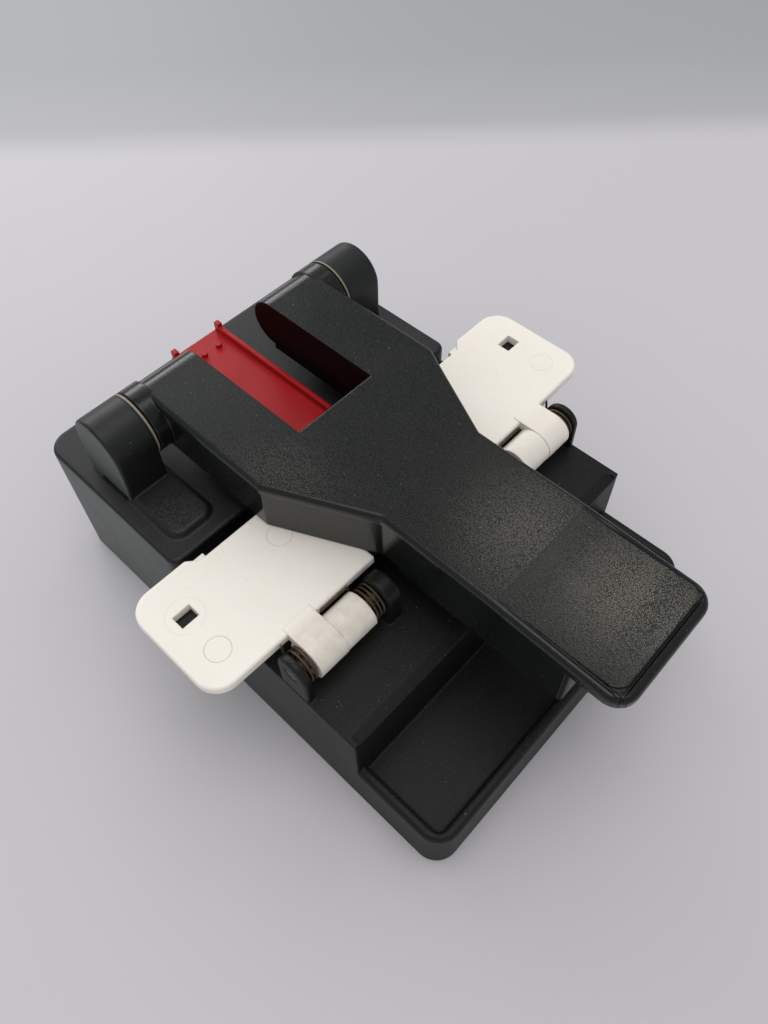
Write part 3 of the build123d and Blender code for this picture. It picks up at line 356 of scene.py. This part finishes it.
# drawn or turned metal: streaked tone, fine lines, and darker tarnish in patches
def drawnMetal(name, facts):
    mat, tree, bsdf = newMaterial(name)
    coords = addNode(tree, "ShaderNodeTexCoord").outputs["Object"]
    streak = addNode(tree, "ShaderNodeMapping", {}, {"Vector": coords, "Scale": facts["stretch"]})
    lines = addNode(tree, "ShaderNodeTexNoise", {}, {
        "Vector": streak, "Scale": facts["linesPerM"], "Detail": 3, "Roughness": 0.6})
    clouds = addNode(tree, "ShaderNodeTexNoise", {}, {
        "Vector": coords, "Scale": metalFacts["tarnishPerM"], "Detail": 4, "Roughness": 0.6})
    clean = addNode(tree, "ShaderNodeMix", colourMix, {
        0: lines, 6: linear(facts["dark"]), 7: linear(facts["light"])}).outputs[2]
    patches = addNode(tree, "ShaderNodeValToRGB", {}, {"Fac": clouds}, [
        (metalFacts["tarnishFrom"], grey(0)), (metalFacts["tarnishTo"], grey(facts["tarnish"]))])
    base = addNode(tree, "ShaderNodeMix", colourMix, {0: patches, 6: clean, 7: linear(facts["tarnishTone"])})
    rough = addNode(tree, "ShaderNodeValToRGB", {}, {"Fac": lines}, [
        (0.3, grey(facts["rough"] - metalFacts["roughLess"])),
        (0.75, grey(facts["rough"] + metalFacts["roughMore"]))])
    bump = addNode(tree, "ShaderNodeBump", {}, {
        "Strength": facts["bump"], "Distance": metalFacts["lineDeep"] * mm, "Height": lines})
    tree.links.new(base.outputs[2], bsdf.inputs["Base Color"])
    tree.links.new(rough.outputs[0], bsdf.inputs["Roughness"])
    tree.links.new(bump.outputs[0], bsdf.inputs["Normal"])
    bsdf.inputs["Metallic"].default_value = 1.0
    return mat


# the plastics' real grain is 0.05 to 0.1 mm; grainPerM draws it 0.33 to 0.55 mm, coarse enough to show
# dust is speckPerM: real specks under 0.2 mm, drawn about 0.5 mm for the same reason
# housing, satin ABS: fine grain that spreads the light, pale dust, edges rubbed to grey, sides painted paler to the
# rear as painted reflection, and painted sheen on the shoulders
housingPlastic = moulded("satin black ABS, spark-eroded mould", {
    "dark": "0e120f", "light": "141815", "driftPerM": 45, "edge": 0.8, "wear": 0.22, "worn": "5a5a56",
    "speckPerM": 2200, "speckFrom": 0.745, "speck": 0.7, "dust": "9a9890", "film": 0.006, "rough": 0.46,
    "grainPerM": 3000, "grain": 0.03, "ior": 1.47,
    "gloss": {"fromY": -24, "toY": 16, "front": 0.33, "rear": 0.58, "walls": -0.14, "upright": 0.4},
    # painted reflection: the flat sides painted paler towards the rear
    "paintedSideReflection": {"fromY": -22.0, "toY": 35.0, "amount": 0.45, "facing": 0.85, "tone": "66706c"},
    "peaks": {"perM": 3400, "least": 0.05, "tone": "807d76", "spots": [
        # painted sheen: grain painted bright on the shoulders and the right deck, where highlights fall
        {"centre": (-33.0, 26.5), "radius": 10.0, "amount": 0.2, "belowY": 100.0, "aboveY": 0.0},
        {"centre": (34.0, 26.0), "radius": 12.0, "amount": 0.2, "belowY": 100.0, "aboveY": 0.0}]},
    "line": {"y": -29.05, "width": 0.08, "aboveZ": 28.9, "halfX": 39.6, "endSoft": 0.2, "tone": "050505"}})
# arm, the same ABS with a coarser grain, painted bright as painted sheen where the lamp's highlights fall on the
# handle, thumb pad and left leg, edges rubbed smooth
armPlastic = moulded("satin black ABS, grained arm", {
    "dark": "101411", "light": "151917", "driftPerM": 40, "edge": 0.5, "wear": 0.35, "worn": "64635e",
    "speckPerM": 2300, "speckFrom": 0.745, "speck": 0.7, "dust": "a3a199", "film": 0.006, "rough": 0.22,
    "grainPerM": 2600, "grain": 0.022, "ior": 1.45,
    # painted sheen: soft spots of bright grain where the highlights fall
    "peaks": {"perM": 4000, "least": 0.05, "tone": "a8a296", "spots": [
        {"centre": (1.5, -33.0), "radius": 18.0, "amount": 0.23, "belowY": 100.0, "aboveY": -37.3},
        {"centre": (4.5, -54.5), "radius": 19.0, "amount": 0.38, "belowY": -37.3, "aboveY": None},
        {"centre": (-21.0, 7.0), "radius": 17.0, "amount": 0.14, "belowY": 100.0, "aboveY": -37.3}]},
    # painted shade: the slot walls and the skirt's front painted darker with this tone
    "slot": {"halfWidth": 10.3, "frontY": 12.4, "lipZ": 49.3, "skirtFrontY": -45.0, "steep": 0.4,
             "forward": -0.2, "gloss": 0.5, "dulled": -0.47, "tone": "0c0c0c"},
    # painted shade: the step round the pad painted near black
    "pad": {"rearY": -37.3, "frontY": -61.7, "halfWidth": 12.1, "slope": 0.065, "groove": 0.5,
            "grooveSoft": 0.1, "grooveDeep": 0.16, "grooveStart": 2.0, "grooveFull": 9.0, "grooveShadeTone": "040404"}})
# film bed, knife carrier and pressure pad, machined acetal: unpolished and deep in shade
bedPlastic = moulded("matt black acetal, machined", {
    "dark": "161616", "light": "1d1d1c", "driftPerM": 80, "edge": 0.15, "wear": 0.2, "worn": "4a4a48",
    "speckPerM": 1800, "speckFrom": 0.74, "speck": 0.4, "dust": "8a8880", "film": 0.04, "rough": 0.5,
    "grainPerM": 2500, "grain": 0.014, "ior": 1.48})
# clamp plates, moulded acetal: cream white with a soft glow, finger soil in 2.4 mm patches, ejector rings
creamPlastic = moulded("cream white acetal, moulded", {
    "dark": "ece7dc", "light": "f6f2ea", "driftPerM": 35, "edge": 0.35, "wear": 0.12, "worn": "f6f3ea",
    "speckPerM": 1600, "speckFrom": 0.74, "speck": 0.35, "dust": "8d8676", "film": 0.05, "rough": 0.42,
    "grainPerM": 2200, "grain": 0.008, "ior": 1.48, "sss": 0.25, "sssRadius": (1.0, 0.85, 0.65),
    "soil": {"perM": 420, "belowY": -10.2, "soft": 2.5, "amount": 0.34, "tone": "a38c72",
             "patches": [(0.3, grey(0.35)), (0.65, grey(1))]},
    "rings": [
        {"centre": (47.2, -4.0), "radius": 2.5, "width": 0.14, "deep": 0.05, "dirt": 0.42, "tone": "8d8676"},
        {"centre": (47.05, 5.25), "radius": 3.8, "width": 0.16, "deep": 0.03, "dirt": 0.1, "tone": "8d8676"},
        {"centre": (23.6, 5.6), "radius": 2.5, "width": 0.16, "deep": 0.05, "dirt": 0.26, "tone": "8d8676"}]})
# bushes, moulded nylon: dulled by grease and handling
bushPlastic = moulded("cream nylon bush, moulded", {
    "dark": "857c66", "light": "978d75", "driftPerM": 120, "edge": 0.15, "wear": 0.1, "worn": "b3a98c",
    "speckPerM": 1600, "speckFrom": 0.74, "speck": 0.3, "dust": "5d5748", "film": 0.15, "rough": 0.5,
    "grainPerM": 2600, "grain": 0.01, "ior": 1.5,
    "rim": {"fromX": 27.4, "toX": 27.78, "soft": 0.08, "tone": "1c1a17"}})
# tape guide, moulded styrene: clear red with a soft shine
redPlastic = moulded("bright red styrene, moulded", {
    "dark": "a00d13", "light": "b31419", "driftPerM": 60, "edge": 0.25, "wear": 0.2, "worn": "c22f28",
    "speckPerM": 1700, "speckFrom": 0.76, "speck": 0.35, "dust": "b8a59a", "film": 0.015, "rough": 0.36,
    "grainPerM": 1800, "grain": 0.006, "ior": 1.4, "sss": 0.1, "sssRadius": (1.0, 0.2, 0.12)})
# feet and pad facing, moulded rubber: no shine, dusty
footRubber = moulded("soft black rubber, moulded", {
    "dark": "131313", "light": "1c1b1a", "driftPerM": 120, "edge": 0.2, "wear": 0.2, "worn": "444340",
    "speckPerM": 1500, "speckFrom": 0.72, "speck": 0.4, "dust": "8d8a82", "film": 0.12, "rough": 0.75,
    "grainPerM": 2000, "grain": 0.03, "ior": 1.5})
# the metals' real lines are under 0.05 mm; linesPerM draws them 0.2 to 0.67 mm apart, coarse enough to show
# clamp coils, drawn bronze wire: brown and dirty, with a little bronze left on the turns
bronzeWire = drawnMetal("phosphor bronze wire, drawn", {
    "dark": "4a3d35", "light": "98836f", "stretch": (1, 1, 1), "linesPerM": 2600, "tarnish": 0.5,
    "tarnishTone": "2a211c", "rough": 0.6, "bump": 0.2})
# clamp pins, turned brass: fine turning lines under a dull brown skin
turnedBrass = drawnMetal("turned brass, lightly tarnished", {
    "dark": "55493a", "light": "857560", "stretch": (0.2, 1, 1), "linesPerM": 2600, "tarnish": 0.6,
    "tarnishTone": "332b22", "rough": 0.5, "bump": 0.15})
# blades, anvil and pins, ground steel: bright with straight grinding lines
groundSteel = drawnMetal("ground tool steel", {
    "dark": "8a8a88", "light": "bcbcb8", "stretch": (0.08, 1, 1), "linesPerM": 5000, "tarnish": 0.2,
    "tarnishTone": "6a6660", "rough": 0.26, "bump": 0.2})
# screws, axles and pad springs, zinc plated steel: pale and slightly cloudy
zincSteel = drawnMetal("zinc plated steel", {
    "dark": "868889", "light": "b0b2b2", "stretch": (1, 1, 1), "linesPerM": 1500, "tarnish": 0.3,
    "tarnishTone": "5f6062", "rough": 0.36, "bump": 0.1})
print("materials made")

slotMaterials = {
    "housing_black": housingPlastic, "arm_black": armPlastic, "bed_black": bedPlastic, "clamp_cream": creamPlastic,
    "bush_cream": bushPlastic, "guide_red": redPlastic, "pin_brass": turnedBrass, "spring_bronze": bronzeWire,
    "tool_steel": groundSteel, "plain_steel": zincSteel, "foot_rubber": footRubber}
for part in frame["record"]["subparts"]:
    piece = nodes[part["node"]]
    piece.data.materials.clear()
    piece.data.materials.append(slotMaterials[part["material_slot"]])
print("frame dressed")

# pale paper with a slow drift of tone, greyer past its far edge, which the lens leaves soft; metres
floorFacts = {
    "half": 1.2, "rough": 0.6, "dark": "c0bfc3", "light": "c7c5c9", "driftPerM": 6,
    "edgeAt": (0.132, 0.133), "edgeSoft": 0.012, "edgeWay": (0.709, 0.705, 0), "fallOver": 0.16,
    "beyond": [(0.0, "adaeb0"), (0.35, "a0a2a4"), (1.0, "9b9d9f")]}
bpy.ops.mesh.primitive_plane_add(size=2 * floorFacts["half"], location=(0, 0, 0))
floor = bpy.context.object
floor.name = "floor"
floorMat, tree, bsdf = newMaterial("pale paper table, greyer beyond its edge")
coords = addNode(tree, "ShaderNodeTexCoord").outputs["Object"]
drift = addNode(tree, "ShaderNodeTexNoise", {}, {
    "Vector": coords, "Scale": floorFacts["driftPerM"], "Detail": 3, "Roughness": 0.5})
paper = addNode(tree, "ShaderNodeMix", colourMix, {
    0: drift, 6: linear(floorFacts["dark"]), 7: linear(floorFacts["light"])}).outputs[2]
away = addNode(tree, "ShaderNodeVectorMath", dotProduct, {0: coords, 1: floorFacts["edgeWay"]}).outputs["Value"]
edgeFar = sum(a * b for a, b in zip(floorFacts["edgeAt"], floorFacts["edgeWay"]))
pastEdge = addNode(tree, "ShaderNodeMapRange", smooth, {
    "Value": away, "From Min": edgeFar - floorFacts["edgeSoft"], "From Max": edgeFar + floorFacts["edgeSoft"]})
fall = addNode(tree, "ShaderNodeMapRange", {}, {
    "Value": away, "From Min": edgeFar, "From Max": edgeFar + floorFacts["fallOver"]})
beyond = addNode(tree, "ShaderNodeValToRGB", {}, {"Fac": fall}, [
    (at, linear(tone)) for at, tone in floorFacts["beyond"]])
table = addNode(tree, "ShaderNodeMix", colourMix, {0: pastEdge, 6: paper, 7: beyond})
tree.links.new(table.outputs[2], bsdf.inputs["Base Color"])
bsdf.inputs["Roughness"].default_value = floorFacts["rough"]
floor.data.materials.append(floorMat)
print("table laid")

# metres and watts
lightFacts = [
    {"name": "lamp, high on the right", "place": (0.444, 0.181, 0.807), "aim": (0, -0.035, 0.053),
     "size": (0.11, 0.11), "power": 0.09, "colour": (1.0, 0.93, 0.82)},  # warm sheen on handle and thumb pad
    {"name": "window behind", "place": (0.2, 0.72, 0.72), "aim": (0, 0.02, 0.03),
     "size": (0.5, 0.3), "power": 0.27, "colour": (0.98, 0.99, 1.0)},  # faint sheen on ears and left leg
    {"name": "low window far behind", "place": (0.25, 1.05, 0.5), "aim": (0, 0, 0.03),
     "size": (0.9, 0.35), "power": 4.0, "colour": (1.0, 0.985, 0.98)},  # paler paper to the rear
    {"name": "ceiling", "place": (-0.05, -0.1, 1.3), "aim": (0, 0, 0),
     "size": (0.8, 0.8), "power": 3.8, "colour": (1.0, 0.985, 0.975)}]  # soft shade round the housing
for facts in lightFacts:
    data = bpy.data.lights.new(facts["name"], "AREA")
    data.shape = "RECTANGLE"
    data.size, data.size_y = facts["size"]
    data.energy = facts["power"]
    data.color = facts["colour"]
    lamp = bpy.data.objects.new(facts["name"], data)
    bpy.context.collection.objects.link(lamp)
    lamp.location = facts["place"]
    lamp.rotation_euler = (Vector(facts["aim"]) - Vector(facts["place"])).to_track_quat("-Z", "Y").to_euler()
print("lights hung")

# the room lights the piece with one tone and is seen, directly and in reflections, as another
roomFacts = {"ambient": (0.985, 0.975, 0.985, 1), "strength": 0.74, "backdrop": "95989c"}
world = bpy.data.worlds.new("pale room")
bpy.context.scene.world = world
world.use_nodes = True
tree = world.node_tree
tree.nodes.clear()
path = addNode(tree, "ShaderNodeLightPath")
direct = addNode(tree, "ShaderNodeMath", larger, {
    0: path.outputs["Is Camera Ray"], 1: path.outputs["Is Glossy Ray"]})
seen = addNode(tree, "ShaderNodeMath", larger, {0: direct, 1: path.outputs["Is Transmission Ray"]})
ambient = addNode(tree, "ShaderNodeBackground", {}, {
    "Color": roomFacts["ambient"], "Strength": roomFacts["strength"]})
backdrop = addNode(tree, "ShaderNodeBackground", {}, {"Color": linear(roomFacts["backdrop"]), "Strength": 1.0})
room = addNode(tree, "ShaderNodeMixShader", {}, {0: seen, 1: ambient, 2: backdrop})
addNode(tree, "ShaderNodeOutputWorld", {}, {"Surface": room})

# fitted to the photograph; pixels, radians and millimetres
cameraFacts = {
    "picture": (768, 1024), "focal": 850.0, "centre": (380.147, 466.337), "sensor": 36,
    "azimuth": 0.78790126, "down": 0.926035807, "roll": -0.0321059792, "place": (-72.513, -71.079, 179.319)}
wide, high = cameraFacts["picture"]
cameraData = bpy.data.cameras.new("camera")
cameraData.sensor_fit = "AUTO"
cameraData.sensor_width = cameraFacts["sensor"]
cameraData.lens = cameraFacts["focal"] / high * cameraFacts["sensor"]
cameraData.shift_x = (wide / 2 - cameraFacts["centre"][0]) / high
cameraData.shift_y = (cameraFacts["centre"][1] - high / 2) / high
cameraData.clip_start = 0.01
camera = bpy.data.objects.new("camera", cameraData)
bpy.context.collection.objects.link(camera)
azimuth, down, roll = cameraFacts["azimuth"], cameraFacts["down"], cameraFacts["roll"]
look = Vector((math.sin(azimuth) * math.cos(down), math.cos(azimuth) * math.cos(down), -math.sin(down)))
levelRight = look.cross(Vector((0, 0, 1))).normalized()
levelUp = levelRight.cross(look)
right = levelRight * math.cos(roll) + levelUp * math.sin(roll)
up = levelUp * math.cos(roll) - levelRight * math.sin(roll)
turn = Matrix((right, up, -look)).transposed()
camera.matrix_world = Matrix.Translation(Vector(cameraFacts["place"]) * mm) @ turn.to_4x4()
bpy.context.scene.camera = camera
bpy.context.scene.view_settings.view_transform = "Standard"
print("stage set")
